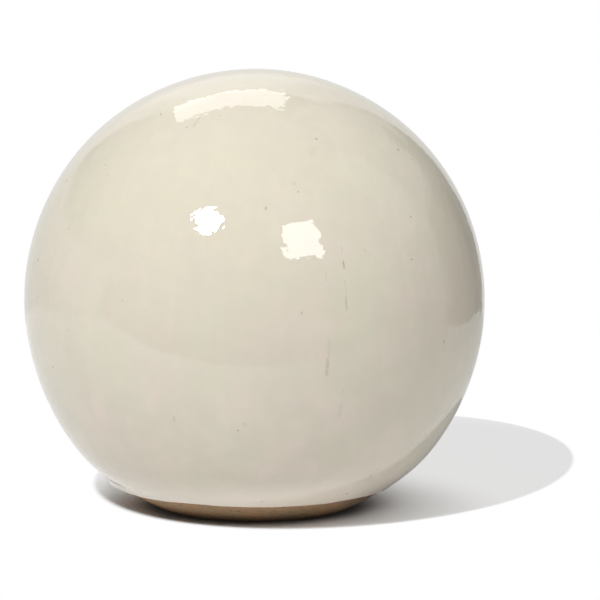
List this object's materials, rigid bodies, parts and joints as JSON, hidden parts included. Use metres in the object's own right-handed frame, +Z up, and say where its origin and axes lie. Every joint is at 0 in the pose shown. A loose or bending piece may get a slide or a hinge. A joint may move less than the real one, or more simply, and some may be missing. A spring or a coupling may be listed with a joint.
{
  "type": "glazed ceramic garden ball",
  "caption": "Hollow glazed stoneware ball that stands on its own flat bare-clay foot as a garden ornament, with a kiln vent hole through the floor underneath.",
  "frame": {"origin": "on the ground at the middle of the foot", "axes": "+Z straight up through the crown; the ball is round about Z, so +X and +Y are free"},
  "size_m": [0.2999, 0.3, 0.2857],
  "materials": {
    "ivory_glaze": "gloss"
  },
  "bodies": {
    "root": {"garden_ball": "ivory_glaze"}
  },
  "joints": []
}
